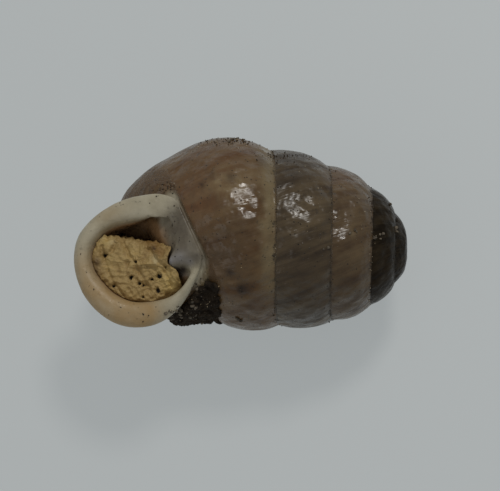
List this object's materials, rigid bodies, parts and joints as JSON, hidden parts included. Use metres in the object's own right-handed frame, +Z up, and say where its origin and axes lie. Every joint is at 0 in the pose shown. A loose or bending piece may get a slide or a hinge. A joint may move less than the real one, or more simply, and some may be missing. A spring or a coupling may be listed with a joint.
{
  "type": "land snail shell",
  "caption": "Small empty right-handed land snail shell with a thick reflected white lip and a tooth, its mouth plugged with dried matter, lying on its side",
  "frame": {"origin": "on the ground under the middle of the bounding box, with the shell lying on its side", "axes": "+X runs along the shell's own axis towards the apex, +Z up, and the mouth faces up"},
  "size_m": [0.0032, 0.0022, 0.0019],
  "materials": {
    "shell": "satin",
    "dried_plug": "matte",
    "soil_clump": "matte"
  },
  "bodies": {
    "root": {"shell": "shell", "dried_plug": "dried_plug", "soil_clump": "soil_clump"}
  },
  "joints": []
}
